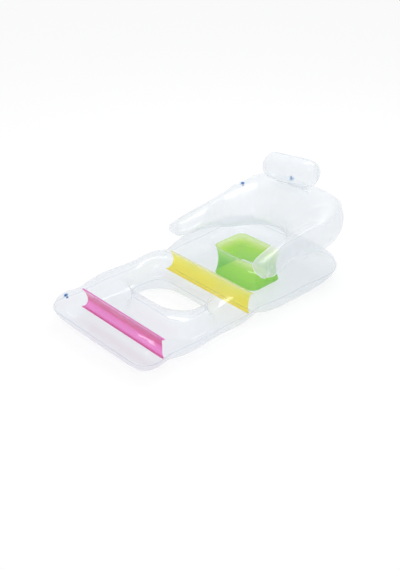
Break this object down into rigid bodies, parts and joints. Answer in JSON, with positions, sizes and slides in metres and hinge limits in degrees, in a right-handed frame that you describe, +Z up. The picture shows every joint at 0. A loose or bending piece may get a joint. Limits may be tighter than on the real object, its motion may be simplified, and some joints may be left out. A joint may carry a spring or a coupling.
{
  "type": "inflatable pool lounge chair",
  "caption": "Clear inflatable pool lounge with a leg opening, coloured inner baffles, a wrap-round backrest with arms, a headrest pillow and push-in valves.",
  "frame": {"origin": "bottom centre of the bounding box, on the ground under the inflated mattress", "axes": "+Z up, +Y from the foot end to the head end, +X to the right seen from the foot end"},
  "size_m": [0.761, 1.5246, 0.6001],
  "materials": {
    "clear_film": "clear glossy vinyl film",
    "magenta_film": "tinted translucent vinyl film",
    "yellow_film": "tinted translucent vinyl film",
    "green_film": "tinted translucent vinyl film",
    "blue_vinyl": "smooth moulded soft vinyl",
    "pale_blue_vinyl": "smooth moulded soft vinyl, translucent"
  },
  "bodies": {
    "base": {"base_bottom_sheet": "clear_film", "base_top_sheet": "clear_film", "foot_baffle": "magenta_film", "knee_baffle": "yellow_film", "seat_baffle": "green_film", "foot_valve_flange": "pale_blue_vinyl"},
    "backrest": {"backrest_front_sheet": "clear_film", "backrest_rear_sheet": "clear_film", "backrest_valve_flange": "pale_blue_vinyl"},
    "headrest": {"headrest_front_sheet": "clear_film", "headrest_rear_sheet": "clear_film", "headrest_valve_flange": "pale_blue_vinyl"},
    "foot_stem": {"foot_valve_stem": "blue_vinyl"},
    "foot_cap": {"foot_valve_cap": "blue_vinyl"},
    "foot_flap": {"foot_valve_flap": "pale_blue_vinyl"},
    "backrest_stem": {"backrest_valve_stem": "blue_vinyl"},
    "backrest_cap": {"backrest_valve_cap": "blue_vinyl"},
    "backrest_flap": {"backrest_valve_flap": "pale_blue_vinyl"},
    "headrest_stem": {"headrest_valve_stem": "blue_vinyl"},
    "headrest_cap": {"headrest_valve_cap": "blue_vinyl"},
    "headrest_flap": {"headrest_valve_flap": "pale_blue_vinyl"}
  },
  "joints": [
    {"name": "backrest_recline", "type": "hinge", "parent": "base", "child": "backrest", "pos_m": [0, 0.61368, 0.08], "axis": [-1, 0, 0], "range_deg": [0, 60]},
    {"name": "headrest_tilt", "type": "hinge", "parent": "backrest", "child": "headrest", "pos_m": [0, 0.5989, 0.40248], "axis": [-1, 0, 0], "range_deg": [-20, 35]},
    {"name": "foot_stem_slide", "type": "slide", "parent": "base", "child": "foot_stem", "axis": [-0.3072, -0.2703, 0.9124], "range_m": [0, 0.0075]},
    {"name": "foot_cap_hinge", "type": "hinge", "parent": "foot_stem", "child": "foot_cap", "pos_m": [-0.27511, -0.69577, 0.14971], "axis": [0, 0.9588, 0.2841], "range_deg": [0, 150]},
    {"name": "foot_flap_hinge", "type": "hinge", "parent": "foot_stem", "child": "foot_flap", "pos_m": [-0.28433, -0.68947, 0.12842], "axis": [0, 0.9588, 0.2841], "range_deg": [0, 40], "stiffness_Nm_per_rad": 0.0001},
    {"name": "backrest_stem_slide", "type": "slide", "parent": "backrest", "child": "backrest_stem", "axis": [-0.1182, -0.2449, 0.9623], "range_m": [0, 0.006]},
    {"name": "backrest_cap_hinge", "type": "hinge", "parent": "backrest_stem", "child": "backrest_cap", "pos_m": [-0.26941, 0.49386, 0.36353], "axis": [0, 0.9691, 0.2466], "range_deg": [0, 150]},
    {"name": "backrest_flap_hinge", "type": "hinge", "parent": "backrest_stem", "child": "backrest_flap", "pos_m": [-0.28274, 0.4988, 0.34414], "axis": [0, 0.9691, 0.2466], "range_deg": [0, 40], "stiffness_Nm_per_rad": 0.0001},
    {"name": "headrest_stem_slide", "type": "slide", "parent": "headrest", "child": "headrest_stem", "axis": [0.1066, 0.379, -0.9192], "range_m": [0, 0.008]},
    {"name": "headrest_cap_hinge", "type": "hinge", "parent": "headrest_stem", "child": "headrest_cap", "pos_m": [0.0012, 0.58346, 0.44423], "axis": [0, -0.9245, -0.3812], "range_deg": [0, 150]},
    {"name": "headrest_flap_hinge", "type": "hinge", "parent": "headrest_stem", "child": "headrest_flap", "pos_m": [-0.01627, 0.57716, 0.45952], "axis": [0, -0.9245, -0.3812], "range_deg": [0, 40], "stiffness_Nm_per_rad": 0.0001}
  ]
}
